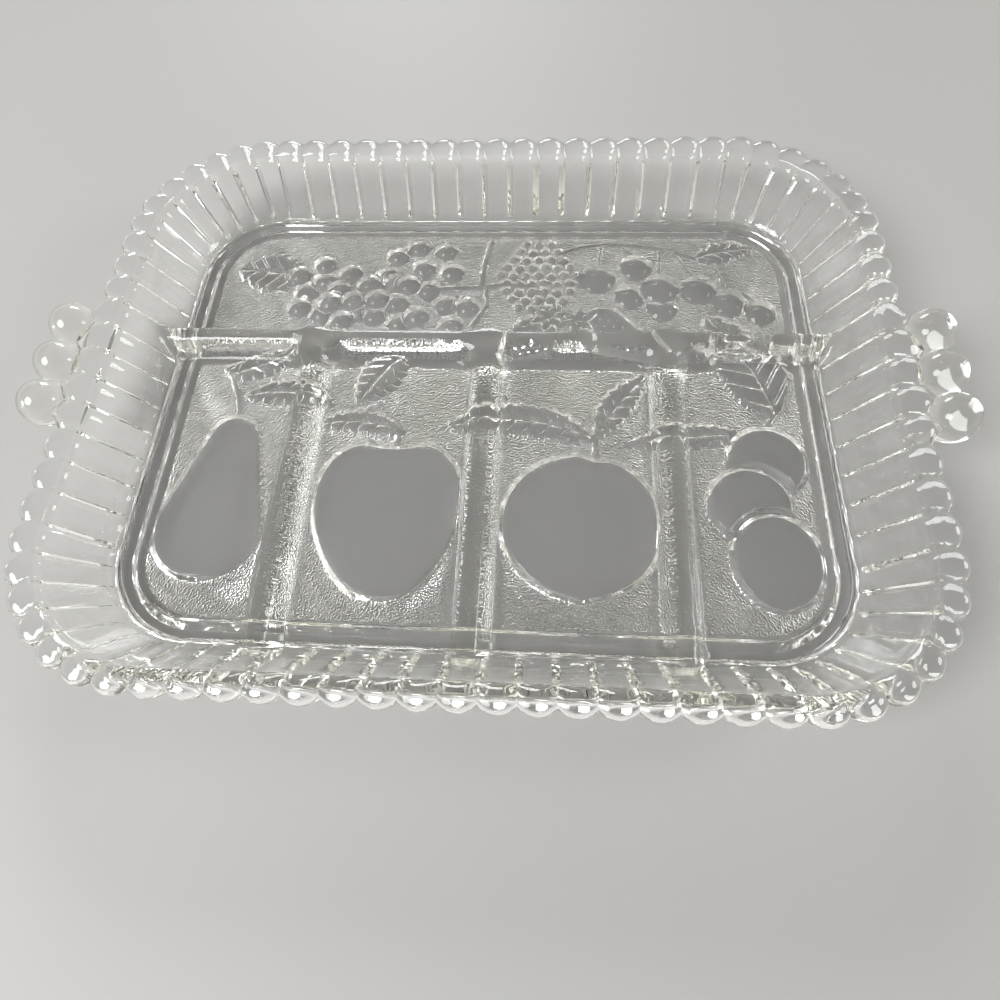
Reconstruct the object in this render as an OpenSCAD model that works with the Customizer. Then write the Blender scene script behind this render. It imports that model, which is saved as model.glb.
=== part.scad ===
// Five-part relish tray in pressed clear glass: fluted walls, a scalloped lip,
// rounded dividers, fruit pressed into the underside and a handle of three
// glass beads at each end. Origin: centre of the footprint, on the table.
// +X runs along the tray towards one handle, +Y to the long compartment.

/* [Tray] */
// Length of the rim between the two short sides, measured in the scallop valleys
rim_length = 293; // [240:1:340]
// Depth of the rim between the two long sides, measured in the scallop valleys
rim_depth = 229; // [200:1:260]
// Radius of the rim's corners, measured in the scallop valleys
corner_radius = 51; // [44:1:60]
// Height of the scallop valleys above the table
rim_height = 28; // [24:0.5:34]

/* [Flutes] */
// Flutes on each long side
long_side_flutes = 17; // [11:2:23]
// Flutes on each short side
short_side_flutes = 11; // [9:2:15]
// Flutes round each corner
corner_flutes = 7; // [5:1:9]
// Swell of a flute on the upright wall
flute_swell = 1.2; // [0.6:0.1:1.6]
// Reach of a rounded scallop beyond the valleys beside it
scallop_reach = 2.3; // [1.5:0.1:2.8]
// Rise of a scallop's crown above the valleys beside it
scallop_rise = 1.6; // [1:0.1:2.2]

/* [Wall] */
// Distance that the wall leans in from the rim to its heel
wall_lean = 16; // [13:0.5:18]
// Thickness of the wall, measured level
wall_thickness = 4; // [3.5:0.1:4.5]
// Width of the flatter lip inside the valleys
lip_width = 6.5; // [5.5:0.5:7.5]
// Thickness of the lip
lip_thickness = 2.4; // [2:0.1:2.8]

/* [Floor] */
// Height of the compartment floors above the table
floor_height = 4.5; // [4.2:0.1:5.5]
// Width of the cove that joins the floor to the wall
cove_width = 3.5; // [2.5:0.25:5]
// Height of the ring that the tray stands on
foot_height = 1; // [0.6:0.1:1.2]
// Width of the ring that the tray stands on
foot_width = 7.5; // [5:0.25:9]

/* [Dividers] */
// Distance of the long divider from the middle of the tray, as a share of the rim's depth
long_divider_share = 0.1114; // [0.09:0.0001:0.14]
// Distance between neighbouring cross dividers, as a share of the rim's length
cross_divider_share = 0.2355; // [0.21:0.0005:0.25]
// Width of a divider at its foot
divider_width = 17; // [15:0.5:19]
// Height of the long divider above the floor
long_divider_height = 8; // [7:0.1:8.4]
// Height of a cross divider above the floor
cross_divider_height = 7.2; // [6:0.1:7.4]

/* [Bead handles] */
// Radius of a glass bead
bead_radius = 8.5; // [8:0.1:8.5]
// Distance between the centres of two beads
bead_pitch = 17.1; // [17.1:0.1:18]
// Distance of the beads' centres outside the scallop valleys
bead_offset = 9.9; // [9.5:0.1:10.5]
// Depth of the beads' centres below the scallop valleys
bead_drop = 1.8; // [1:0.1:3]

/* [Fruit] */
// Depth of the step round each fruit; leaves and stems take a part of it
step_depth = 0.6; // [0.4:0.1:0.8]
// Further depth of the dome inside a fruit
dome_depth = 0.9; // [0.5:0.1:1.1]
// Radius of the pear's body
pear_radius = 21; // [18:0.5:23]
// Radius of the pear's neck
pear_neck_radius = 9; // [7:0.5:10]
// Width of the apple
apple_width = 54; // [46:0.5:56]
// Height of the apple
apple_height = 64; // [54:0.5:68]
// Depth of the dip at the apple's stem
apple_dip = 6; // [4:0.5:8]
// Radius of the peach
peach_radius = 28.5; // [25:0.5:30]
// Radius of a plum
plum_radius = 16; // [14:0.5:17]
// Radius of a grape
grape_radius = 4.8; // [4:0.1:4.9]
// Radius of one bead of the raspberry
drupelet_radius = 2.4; // [2:0.1:2.5]
// Radius of a cherry
cherry_radius = 7; // [6:0.1:7.5]
// Radius of a strawberry's shoulder
strawberry_radius = 9.5; // [8:0.5:10.5]
// Radius of a strawberry's tip
strawberry_tip_radius = 3.5; // [3:0.25:4.5]
// Width of a stem
stem_width = 1.8; // [1.2:0.1:2.4]

/* [Hidden] */

// Colour of the clear glass, with the faint warm tint of its thick edges
glass = [0.90, 0.92, 0.85, 0.55];
round_facets = 64;
dome_facets = 96;
arc_steps = 20;

// Steps that each flute is drawn in, and the angles of a corner and of a whole turn
flute_steps = 4;
corner_sweep = 90;
full_turn = 360;

// Half sizes of the rim and the length of its straight stretches
half_length = rim_length / 2;
half_depth = rim_depth / 2;
long_straight = rim_length - 2 * corner_radius;
short_straight = rim_depth - 2 * corner_radius;

// Places of the dividers
long_divider_place = rim_depth * long_divider_share;
cross_divider_place = rim_length * cross_divider_share;

// Parts of the lean that the wall takes at its heel and up to its shoulder
heel_share = 0.05;
shoulder_share = 0.72;

// Parts of the lip's width and thickness where its lines lie
lip_under_share = 0.3;
edge_share = 0.25;
crown_share = 0.45;
crown_rise_share = 0.33;
inner_top_share = 0.2;

// Parts of the cove's width that its foot rises and that its middle lies at
cove_rise_share = 0.9;
cove_mid_share = 0.42;
cove_mid_rise_share = 0.3;

// Parts of the scallop's reach and rise that each line of the lip takes
under_reach_share = 0.8;
edge_low_rise_share = 0.2;
edge_high_reach_share = 0.9;
edge_high_rise_share = 0.75;
lip_rise_share = 0.15;

// Heights and insets of the wall's profile, outside first, from the heel up
heel_inset = wall_lean;
outer_top_height = rim_height - 2 * lip_thickness;
heel_round_height = foot_height + (outer_top_height - foot_height) * heel_share * 2;
heel_round_inset = heel_inset - wall_lean * heel_share;
outer_top_inset = heel_inset - wall_lean * shoulder_share;
lean_per_height = (heel_round_inset - outer_top_inset) / (outer_top_height - heel_round_height);
lip_under_height = rim_height - lip_thickness;
lip_under_inset = outer_top_inset * lip_under_share;
edge_low_height = rim_height - lip_thickness / 2;
edge_high_height = rim_height + lip_thickness * edge_share;
edge_high_inset = scallop_reach * edge_share;
crown_inset = lip_width * crown_share;
crown_height = rim_height + lip_thickness * crown_rise_share;
inner_top_inset = lip_width + wall_thickness * inner_top_share;
inner_top_height = outer_top_height + (outer_top_inset + wall_thickness - inner_top_inset) / lean_per_height;
inner_foot_height = floor_height + cove_width * cove_rise_share;
inner_foot_inset = heel_round_inset + wall_thickness - (inner_foot_height - heel_round_height) * lean_per_height;
cove_mid_inset = inner_foot_inset + cove_width * cove_mid_share;
cove_mid_height = floor_height + (inner_foot_height - floor_height) * cove_mid_rise_share;
floor_inset = inner_foot_inset + cove_width;

// Insets of the foot ring, which shows through the floor as a plain band
foot_outer_inset = heel_inset + foot_height;
foot_inner_inset = foot_outer_inset + foot_width;

// One row per line of the profile: inset, height, swell of the flute and rise of the scallop
PROFILE = [
    [floor_inset, foot_height, 0, 0],
    [heel_inset, foot_height, flute_swell / 2, 0],
    [heel_round_inset, heel_round_height, flute_swell, 0],
    [outer_top_inset, outer_top_height, flute_swell, 0],
    [lip_under_inset, lip_under_height, scallop_reach * under_reach_share, 0],
    [0, edge_low_height, scallop_reach, scallop_rise * edge_low_rise_share],
    [edge_high_inset, edge_high_height, scallop_reach * edge_high_reach_share, scallop_rise * edge_high_rise_share],
    [crown_inset, crown_height, 0, scallop_rise],
    [lip_width, rim_height, 0, scallop_rise * lip_rise_share],
    [inner_top_inset, inner_top_height, 0, 0],
    [inner_foot_inset, inner_foot_height, 0, 0],
    [cove_mid_inset, cove_mid_height, 0, 0],
    [floor_inset, floor_height, 0, 0]
];
// First of the profile's lines that bound the inside of the tray
INNER_LINE_FIRST = 9;

// Swell of a flute at one step along it, nought in the valleys and one in the middle
function swell(step) =
    let (part = (step % flute_steps) / flute_steps)
    1 - pow(2 * part - 1, 2);

// How far in and how high a profile line lies at one step along the wall
function line_inset(line, step) = line[0] - line[2] * swell(step);
function line_height(line, step) = line[1] + line[3] * swell(step);

// Section of a straight wall that runs along X, its outside towards +Y
function straight_section(step, pitch) = [
    for (line = PROFILE)
        [step * pitch / flute_steps, -line_inset(line, step), line_height(line, step)]
];

// Section of a corner that sweeps a quarter turn from +X to +Y about its centre
function corner_section(step) =
    let (angle = corner_sweep * step / (corner_flutes * flute_steps))
    [
        for (line = PROFILE)
            let (reach = corner_radius - line_inset(line, step))
            [reach * cos(angle), reach * sin(angle), line_height(line, step)]
    ];

// Solid through a row of like sections, closed at both ends; each four-cornered
// facet is split from its first corner, or from its second one
module through_sections(sections, split_at_second = false) {
    per = len(sections[0]);
    last = len(sections) - 1;
    sides = [
        for (s = [0:last - 1], k = [0:per - 1])
            let (a = s * per + k, b = s * per + (k + 1) % per)
            each split_at_second
                ? [[a, b, a + per], [b, b + per, a + per]]
                : [[a, b, b + per], [a, b + per, a + per]]
    ];
    near_end = [[for (k = [per - 1:-1:0]) k]];
    far_end = [[for (k = [0:per - 1]) last * per + k]];
    polyhedron(
        points = [for (section = sections) each section],
        faces = concat(sides, near_end, far_end)
    );
}

// Straight fluted wall, centred along X, with its valley line on the X axis
module straight_wall(flutes, pitch) {
    translate([-flutes * pitch / 2, 0, 0])
        through_sections([for (step = [0:flutes * flute_steps]) straight_section(step, pitch)]);
}

// Fluted corner about its own centre, opening from +X to +Y
module corner_wall() {
    sweep_steps = corner_flutes * flute_steps;
    through_sections([for (step = [sweep_steps:-1:0]) corner_section(step)]);
}

// Outline of the tray at a given distance inside the valley line
function outline(inset) =
    let (sweep_steps = corner_flutes * flute_steps)
    [
        for (quarter = [0:3], step = [0:sweep_steps])
            let (
                angle = corner_sweep * (quarter + step / sweep_steps),
                side_x = (quarter == 0 || quarter == 3) ? 1 : -1,
                side_y = quarter < 2 ? 1 : -1
            )
            [
                side_x * long_straight / 2 + (corner_radius - inset) * cos(angle),
                side_y * short_straight / 2 + (corner_radius - inset) * sin(angle)
            ]
    ];

// Fluted walls, four straight ones and four corners

long_pitch = long_straight / long_side_flutes;
short_pitch = short_straight / short_side_flutes;

module back_wall() {
    color(glass)
        translate([0, half_depth, 0])
            straight_wall(long_side_flutes, long_pitch);
}

module front_wall() {
    color(glass)
        rotate([0, 0, 180])
            translate([0, half_depth, 0])
                straight_wall(long_side_flutes, long_pitch);
}

module left_wall() {
    color(glass)
        rotate([0, 0, 90])
            translate([0, half_length, 0])
                straight_wall(short_side_flutes, short_pitch);
}

module right_wall() {
    color(glass)
        rotate([0, 0, -90])
            translate([0, half_length, 0])
                straight_wall(short_side_flutes, short_pitch);
}

// Corner turned into place, side_x and side_y being one or minus one
module placed_corner(side_x, side_y, turn) {
    color(glass)
        translate([side_x * long_straight / 2, side_y * short_straight / 2, 0])
            rotate([0, 0, turn])
                corner_wall();
}

module back_right_corner() {
    placed_corner(1, 1, 0);
}

module back_left_corner() {
    placed_corner(-1, 1, 90);
}

module front_left_corner() {
    placed_corner(-1, -1, 180);
}

module front_right_corner() {
    placed_corner(1, -1, 270);
}

// Foot ring

module foot_ring() {
    color(glass)
        difference() {
            linear_extrude(foot_height)
                polygon(outline(foot_outer_inset));
            translate([0, 0, -foot_height])
                linear_extrude(3 * foot_height)
                    polygon(outline(foot_inner_inset));
        }
}

// Fruit pressed into the underside: every shape is a pocket cut from below

// Point on the floor from shares of the tray's half length and half depth
function spot(shares) = [shares[0] * half_length, shares[1] * half_depth];

// Radius of a ball whose cap has a given width and depth
function cap_ball_radius(cap_radius, depth) = (cap_radius * cap_radius + depth * depth) / (2 * depth);

// Round pocket with a step and a bevelled rise over it, up to a level top
module round_pocket(centre, radius, depth, top_share) {
    translate([centre[0], centre[1], 0]) {
        cylinder(r = radius, h = foot_height + step_depth, $fn = round_facets);
        translate([0, 0, foot_height + step_depth])
            cylinder(r1 = radius, r2 = radius * top_share, h = depth, $fn = round_facets);
    }
}

// Arc of points about a centre on the X axis
function arc_points(centre_x, radius, start, end) = [
    for (k = [0:arc_steps])
        let (angle = start + (end - start) * k / arc_steps)
        [centre_x + radius * cos(angle), radius * sin(angle)]
];

// Flat pocket with a round end about each of two points and straight flanks between them
module tapered_pocket(from, from_radius, to, to_radius) {
    run = norm(to - from);
    heading = atan2(to[1] - from[1], to[0] - from[0]);
    flank = acos((from_radius - to_radius) / run);
    translate([from[0], from[1], 0])
        rotate([0, 0, heading])
            linear_extrude(foot_height + step_depth + dome_depth / 2)
                polygon(concat(
                    arc_points(0, from_radius, flank, full_turn - flank),
                    arc_points(run, to_radius, -flank, flank)
                ));
}

// Leaf between its base and its tip, the space that two round discs share
module leaf_pocket(base, tip, width) {
    run = norm(tip - base);
    heading = atan2(tip[1] - base[1], tip[0] - base[0]);
    disc = cap_ball_radius(run / 2, width / 2);
    translate([base[0], base[1], 0])
        rotate([0, 0, heading])
            intersection() {
                translate([run / 2, disc - width / 2, 0])
                    cylinder(r = disc, h = foot_height + step_depth * leaf_depth_share, $fn = dome_facets);
                translate([run / 2, width / 2 - disc, 0])
                    cylinder(r = disc, h = foot_height + step_depth * leaf_depth_share, $fn = dome_facets);
            }
}

// Stem between two points
module stem_pocket(from, to) {
    heading = atan2(to[1] - from[1], to[0] - from[0]);
    translate([from[0], from[1], 0])
        rotate([0, 0, heading])
            translate([0, -stem_width / 2, 0])
                cube([norm(to - from), stem_width, foot_height + step_depth * stem_depth_share]);
}

// Part of a fruit's radius that its level top keeps, on wide fruit and on small
bevel_share = 0.86;
berry_top_share = 0.5;

// Parts of the step's depth that leaves and stems take
leaf_depth_share = 0.75;
stem_depth_share = 0.5;

// Places of the fruit, as shares of the tray's half length and half depth
pear_body_share = [-0.68, -0.463];
pear_neck_share = [-0.665, -0.135];
apple_share = [-0.235, -0.43];
apple_taper_share = 0.22;
apple_dip_power = 14;
apple_turn_step = 7.5;
peach_share = [0.246, -0.424];
plum_shares = [[0.71, -0.21], [0.66, -0.354], [0.707, -0.537]];
strawberry_shares = [[[0.082, 0.34], [0.1, 0.265]], [[0.318, 0.37], [0.42, 0.265]]];
cherry_shares = [
    [0.3, 0.555], [0.41, 0.635], [0.48, 0.512], [0.588, 0.515],
    [0.69, 0.44], [0.79, 0.39], [0.385, 0.49], [0.475, 0.405]
];

// Rows of the grape bunch: height of the row, place of its first grape and number of grapes
grape_row_shares = [
    [0.7, -0.29, 3], [0.624, -0.545, 2], [0.624, -0.254, 3], [0.55, -0.58, 7],
    [0.476, -0.617, 8], [0.402, -0.58, 8], [0.33, -0.472, 6]
];
grape_step_share = 0.0725;

// Rows of the raspberry, in the same form
raspberry_row_shares = [
    [0.73, 0.045, 3], [0.69, 0.027, 5], [0.65, 0.045, 5], [0.61, 0.027, 6],
    [0.57, 0.045, 5], [0.53, 0.063, 5], [0.49, 0.115, 4], [0.45, 0.134, 3]
];
raspberry_step_share = 0.0365;

// Leaves, each with its base, its tip and its width as a share of the tray's depth
leaf_shares = [
    [[-0.66, 0.02], [-0.42, -0.01], 0.057],
    [[-0.71, 0.11], [-0.5, 0.22], 0.052],
    [[-0.22, -0.15], [-0.47, -0.12], 0.052],
    [[-0.22, 0.2], [-0.345, 0], 0.079],
    [[0.285, -0.13], [-0.11, -0.09], 0.07],
    [[0.29, -0.13], [0.44, 0.135], 0.063],
    [[0.675, -0.06], [0.36, -0.15], 0.055],
    [[0.73, -0.035], [0.575, 0.4], 0.12],
    [[-0.6, 0.57], [-0.78, 0.6], 0.08],
    [[0.6, 0.655], [0.76, 0.7], 0.058]
];

// Stems, each with its two ends
pear_stem_shares = [[-0.665, -0.06], [-0.725, 0.13]];
apple_stem_shares = [[-0.225, -0.17], [-0.225, -0.1]];
peach_stem_shares = [[0.285, -0.19], [0.287, -0.11]];
plum_stem_shares = [[0.725, -0.08], [0.74, 0.03]];
back_stem_shares = [
    [[-0.15, 0.51], [0.03, 0.52]], [[-0.02, 0.53], [-0.015, 0.74]], [[-0.02, 0.51], [-0.05, 0.33]],
    [[0.2, 0.68], [0.323, 0.732]], [[0.314, 0.73], [0.5, 0.7]], [[0.491, 0.704], [0.6, 0.655]],
    [[0.319, 0.722], [0.3, 0.6]], [[0.496, 0.694], [0.48, 0.57]]
];

module leaves() {
    for (leaf = leaf_shares)
        leaf_pocket(spot(leaf[0]), spot(leaf[1]), leaf[2] * rim_depth);
}

module pear() {
    tapered_pocket(spot(pear_body_share), pear_radius, spot(pear_neck_share), pear_neck_radius);
    stem_pocket(spot(pear_stem_shares[0]), spot(pear_stem_shares[1]));
}

// Outline of the apple, drawn down from the dip where its stem stands
function apple_outline(scale_share) = [
    for (turn = [0:apple_turn_step:full_turn - apple_turn_step])
        scale_share * [
            apple_width / 2 * sin(turn) * (1 + apple_taper_share * cos(turn)),
            apple_height / 2 * cos(turn) - apple_dip * pow(max(cos(turn), 0), apple_dip_power)
        ]
];

module apple() {
    translate(spot(apple_share)) {
        linear_extrude(foot_height + step_depth)
            polygon(apple_outline(1));
        linear_extrude(foot_height + step_depth + dome_depth)
            polygon(apple_outline(bevel_share));
    }
    stem_pocket(spot(apple_stem_shares[0]), spot(apple_stem_shares[1]));
}

module peach() {
    round_pocket(spot(peach_share), peach_radius, dome_depth, bevel_share);
    stem_pocket(spot(peach_stem_shares[0]), spot(peach_stem_shares[1]));
}

module plums() {
    for (k = [0:len(plum_shares) - 1])
        round_pocket(spot(plum_shares[k]), plum_radius, dome_depth * (k + 1) / len(plum_shares), bevel_share);
    stem_pocket(spot(plum_stem_shares[0]), spot(plum_stem_shares[1]));
}

module strawberries() {
    for (berry = strawberry_shares)
        tapered_pocket(spot(berry[0]), strawberry_radius, spot(berry[1]), strawberry_tip_radius);
}

// Round fruit in rows, each row with its height, its start and its number
module fruit_rows(rows, step_share, radius) {
    for (row = rows, k = [0:row[2] - 1])
        round_pocket(spot([row[1] + k * step_share, row[0]]), radius, dome_depth, berry_top_share);
}

module back_fruit() {
    fruit_rows(grape_row_shares, grape_step_share, grape_radius);
    fruit_rows(raspberry_row_shares, raspberry_step_share, drupelet_radius);
    for (cherry = cherry_shares)
        round_pocket(spot(cherry), cherry_radius, dome_depth, berry_top_share);
    for (stem = back_stem_shares)
        stem_pocket(spot(stem[0]), spot(stem[1]));
}

// Compartment floors, which meet under the middles of the dividers

// Slab of the floor between two places along X and two along Y
module floor_slab(from_x, to_x, from_y, to_y) {
    intersection() {
        translate([0, 0, foot_height])
            linear_extrude(floor_height - foot_height)
                polygon(outline(floor_inset));
        translate([from_x, from_y, 0])
            cube([to_x - from_x, to_y - from_y, rim_height]);
    }
}

module back_floor() {
    color(glass)
        difference() {
            floor_slab(-half_length, half_length, long_divider_place, half_depth);
            back_fruit();
            strawberries();
            leaves();
        }
}

// Floor in front of the long divider, less the fruit given as its children
module front_floor(from_x, to_x) {
    color(glass)
        difference() {
            floor_slab(from_x, to_x, -half_depth, long_divider_place);
            children();
            leaves();
        }
}

module pear_floor() {
    front_floor(-half_length, -cross_divider_place) pear();
}

module apple_floor() {
    front_floor(-cross_divider_place, 0) apple();
}

module peach_floor() {
    front_floor(0, cross_divider_place) peach();
}

module plum_floor() {
    front_floor(cross_divider_place, half_length) plums();
}

// Dividers

// Space inside the walls across the tray, given the half size of the rim on that line
function inside_profile(half) =
    let (lines = [for (k = [INNER_LINE_FIRST:len(PROFILE) - 1]) PROFILE[k]])
    concat(
        [for (line = lines) [half - line[0], line[1]]],
        [for (k = [len(lines) - 1:-1:0]) [lines[k][0] - half, lines[k][1]]]
    );

module inside_prism(half) {
    rotate([90, 0, 0])
        linear_extrude(rim_length + rim_depth, center = true)
            polygon(inside_profile(half));
}

// Rounded bar on the floor along X, from one place to another
module divider_bar(from_x, to_x, height) {
    bar_radius = cap_ball_radius(divider_width / 2, height);
    intersection() {
        translate([from_x, 0, floor_height + height - bar_radius])
            rotate([0, 90, 0])
                cylinder(r = bar_radius, h = to_x - from_x, $fn = dome_facets);
        translate([from_x, -divider_width, floor_height])
            cube([to_x - from_x, 2 * divider_width, height + bar_radius]);
    }
}

module long_bar() {
    translate([0, long_divider_place, 0])
        divider_bar(-half_length, half_length, long_divider_height);
}

module long_divider() {
    color(glass)
        intersection() {
            long_bar();
            inside_prism(half_length);
        }
}

module cross_divider(place) {
    color(glass)
        difference() {
            intersection() {
                translate([place, 0, 0])
                    rotate([0, 0, 90])
                        divider_bar(-half_depth, long_divider_place, cross_divider_height);
                rotate([0, 0, 90])
                    inside_prism(half_depth);
            }
            long_bar();
        }
}

module left_cross_divider() {
    cross_divider(-cross_divider_place);
}

module middle_cross_divider() {
    cross_divider(0);
}

module right_cross_divider() {
    cross_divider(cross_divider_place);
}

// Bead handles

// The beads end flat just outside the scallops, where the web carries them
seat_share = 1.1;
bead_seat = half_length + scallop_reach * seat_share;
bead_place = half_length + bead_offset;
bead_height = rim_height - bead_drop;
HANDLE_FLUTES = 5;
OUTER_TOP_LINE = 3;
LIP_UNDER_LINE = 4;
EDGE_LOW_LINE = 5;

// One bead of the right handle, number one at the back, nought in the middle and minus one in front
module bead(number) {
    color(glass)
        translate([0, number * bead_pitch, 0])
            difference() {
                translate([bead_place, 0, bead_height])
                    rotate([0, 90, 0])
                        sphere(r = bead_radius, $fn = dome_facets);
                translate([bead_seat - 2 * bead_radius, -2 * bead_radius, bead_height - 2 * bead_radius])
                    cube([2 * bead_radius, 4 * bead_radius, 4 * bead_radius]);
            }
}

// Section of the web along the middle flutes of a short side: it follows the
// wall's outer face and ends level and upright at the beads' seat
function web_section(step) =
    let (section = straight_section(step, short_pitch), seat = bead_seat - half_length)
    [
        section[EDGE_LOW_LINE], section[LIP_UNDER_LINE], section[OUTER_TOP_LINE],
        [step * short_pitch / flute_steps, seat, outer_top_height],
        [step * short_pitch / flute_steps, seat, edge_low_height]
    ];

module handle_web() {
    color(glass)
        rotate([0, 0, -90])
            translate([-HANDLE_FLUTES * short_pitch / 2, half_length, 0])
                through_sections(
                    [for (step = [0:HANDLE_FLUTES * flute_steps]) web_section(step)],
                    split_at_second = true
                );
}

module right_handle_web() {
    handle_web();
}

module left_handle_web() {
    mirror([1, 0, 0]) handle_web();
}

module right_back_bead() {
    bead(1);
}

module right_middle_bead() {
    bead(0);
}

module right_front_bead() {
    bead(-1);
}

module left_back_bead() {
    mirror([1, 0, 0]) bead(1);
}

module left_middle_bead() {
    mirror([1, 0, 0]) bead(0);
}

module left_front_bead() {
    mirror([1, 0, 0]) bead(-1);
}

back_floor();
pear_floor();
apple_floor();
peach_floor();
plum_floor();
foot_ring();
back_wall();
front_wall();
left_wall();
right_wall();
back_left_corner();
back_right_corner();
front_left_corner();
front_right_corner();
long_divider();
left_cross_divider();
middle_cross_divider();
right_cross_divider();
left_handle_web();
right_handle_web();
left_back_bead();
left_middle_bead();
left_front_bead();
right_back_bead();
right_middle_bead();
right_front_bead();
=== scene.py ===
import math
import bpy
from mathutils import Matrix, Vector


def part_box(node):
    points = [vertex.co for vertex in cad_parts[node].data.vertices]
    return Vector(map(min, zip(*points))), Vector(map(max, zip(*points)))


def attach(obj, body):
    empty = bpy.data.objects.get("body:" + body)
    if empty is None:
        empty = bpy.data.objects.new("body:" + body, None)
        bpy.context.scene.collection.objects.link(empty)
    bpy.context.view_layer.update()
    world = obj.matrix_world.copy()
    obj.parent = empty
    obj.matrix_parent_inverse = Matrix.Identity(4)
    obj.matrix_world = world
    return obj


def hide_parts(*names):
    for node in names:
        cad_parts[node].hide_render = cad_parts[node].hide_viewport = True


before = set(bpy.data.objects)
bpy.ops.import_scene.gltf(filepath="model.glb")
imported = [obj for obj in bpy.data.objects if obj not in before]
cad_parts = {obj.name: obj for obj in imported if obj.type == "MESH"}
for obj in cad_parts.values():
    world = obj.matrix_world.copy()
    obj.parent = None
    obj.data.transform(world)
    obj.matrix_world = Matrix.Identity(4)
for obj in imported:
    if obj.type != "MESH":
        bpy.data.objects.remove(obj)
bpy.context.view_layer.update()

from types import SimpleNamespace

import bmesh
import bpy
import numpy as np
from mathutils import Matrix, Vector

bl_info = {
    "name": "Relish tray",
    "version": (1, 0, 0),
    "blender": (4, 5, 0),
    "location": "3D View > Sidebar > Relish tray",
    "description": "Five-part relish tray in pressed clear glass with bead handles",
    "category": "Object",
}

MM = 0.001
# Box of one bead: the radius below is a thousandth less than half its width, so that the bead stays inside
BEAD_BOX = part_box("right_middle_bead")


def length(name, description, default):
    return bpy.props.FloatProperty(
        name=name, description=description, default=default, unit="LENGTH", precision=5
    )


def count(name, description, default):
    return bpy.props.IntProperty(name=name, description=description, default=default, min=1)


def plain(name, description, default):
    return bpy.props.FloatProperty(name=name, description=description, default=default, precision=4)


def colour(name, description, default):
    return bpy.props.FloatVectorProperty(
        name=name, description=description, default=default, size=3, subtype="COLOR", min=0, max=1
    )


class TraySizes(bpy.types.PropertyGroup):
    """Sizes of the pressing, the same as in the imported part."""

    rim_length: length("Rim length", "Length of the rim in the scallop valleys", 0.293)
    rim_depth: length("Rim depth", "Depth of the rim in the scallop valleys", 0.229)
    corner_radius: length("Corner radius", "Radius of the rim's corners in the scallop valleys", 0.051)
    long_flutes: count("Flutes on a long side", "Flutes on each straight long side", 17)
    short_flutes: count("Flutes on a short side", "Flutes on each straight short side", 11)
    corner_flutes: count("Flutes on a corner", "Flutes round each corner", 7)
    flute_steps: count("Steps in a flute", "Even number of steps that each flute is drawn in", 6)
    ground_steps: count("Steps on the ground", "Even number of steps on the underside for each flute", 4)
    floor_height: length("Floor height", "Height of the compartment floors above the table", 0.0045)
    ground_height: length("Ground height", "Height of the stippled ground above the table", 0.001)
    divider_offset: length("Long divider", "Distance of the long divider from the middle", 0.0255)
    divider_spacing: length("Cross dividers", "Distance between neighbouring cross dividers", 0.069)
    divider_width: length("Divider width", "Width of a divider at its foot", 0.017)
    long_divider_height: length("Long divider height", "Height of the long divider above the floor", 0.008)
    cross_divider_height: length("Cross divider height", "Height of a cross divider above the floor", 0.0072)
    bead_radius: length("Bead radius", "Radius of a glass bead", (BEAD_BOX[1].y - BEAD_BOX[0].y) / 2.002)
    bead_pitch: length("Bead pitch", "Distance between the centres of two beads", 0.0171)
    bead_reach: length("Bead reach", "Distance of the beads' centres from the middle", 0.1564)
    bead_height: length("Bead height", "Height of the beads' centres above the table", 0.0262)


class GlassLook(bpy.types.PropertyGroup):
    """Colour and surface of the pressed glass."""

    tint: colour("Tint", "Colour that the glass takes in its thickness", (0.89, 0.89, 0.72))
    tint_density: plain("Tint density", "Strength of the tint, per metre", 7.0)
    ior: plain("Refraction", "Index of refraction of soda glass", 1.52)
    polish: plain("Polish", "Roughness of the fire-polished faces", 0.012)
    stipple_pitch: length("Stipple pitch", "Distance between two dots of the stipple", 0.0008)
    stipple_depth: length("Stipple depth", "Depth of a dot of the stipple", 0.00052)


class StudioLook(bpy.types.PropertyGroup):
    """Floor, light and camera."""

    floor_colour: colour("Floor colour", "Colour of the plain pale floor", (0.56, 0.555, 0.54))
    floor_gap: length("Floor gap", "Air between the floor and the foot ring", 0.0002)
    wall_level: plain("Wall level", "Brightness of the studio's pale walls", 0.88)
    ceiling_level: plain("Ceiling level", "Brightness of the studio's dimmer ceiling", 0.2)
    key_power: plain("Key lamp", "Power of the large lamp at the front left, in watts", 13.0)
    back_power: plain("Back lamp", "Power of the low lamp behind the tray, in watts", 11.0)
    side_power: plain("Side lamp", "Power of the small lamp on the right, in watts", 1.8)
    bounces: count("Bounces", "Times that light is followed inside the glass", 20)
    lens: plain("Lens", "Focal length of the camera, in millimetres", 22.56)
    camera_place: bpy.props.FloatVectorProperty(
        name="Camera place",
        description="Place of the camera over the front edge",
        default=(0.0214, -0.1322, 0.2101),
        unit="LENGTH",
        precision=5,
    )


def millimetres(group):
    """Sizes of a property group, its lengths in millimetres."""
    values = {}
    for name, prop in group.bl_rna.properties.items():
        if prop.is_readonly or name == "name":
            continue
        value = getattr(group, name)
        values[name] = value / MM if prop.unit == "LENGTH" else value
    return SimpleNamespace(**values)


def smooth_step(value):
    share = np.clip(value, 0, 1)
    return share * share * (3 - 2 * share)


def smooth_max(first, second, blend):
    near = np.clip(blend - np.abs(first - second), 0, None) / blend
    return np.maximum(first, second) + near * near * blend / 4


def smooth_min(first, second, blend):
    return -smooth_max(-first, -second, blend)


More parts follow.
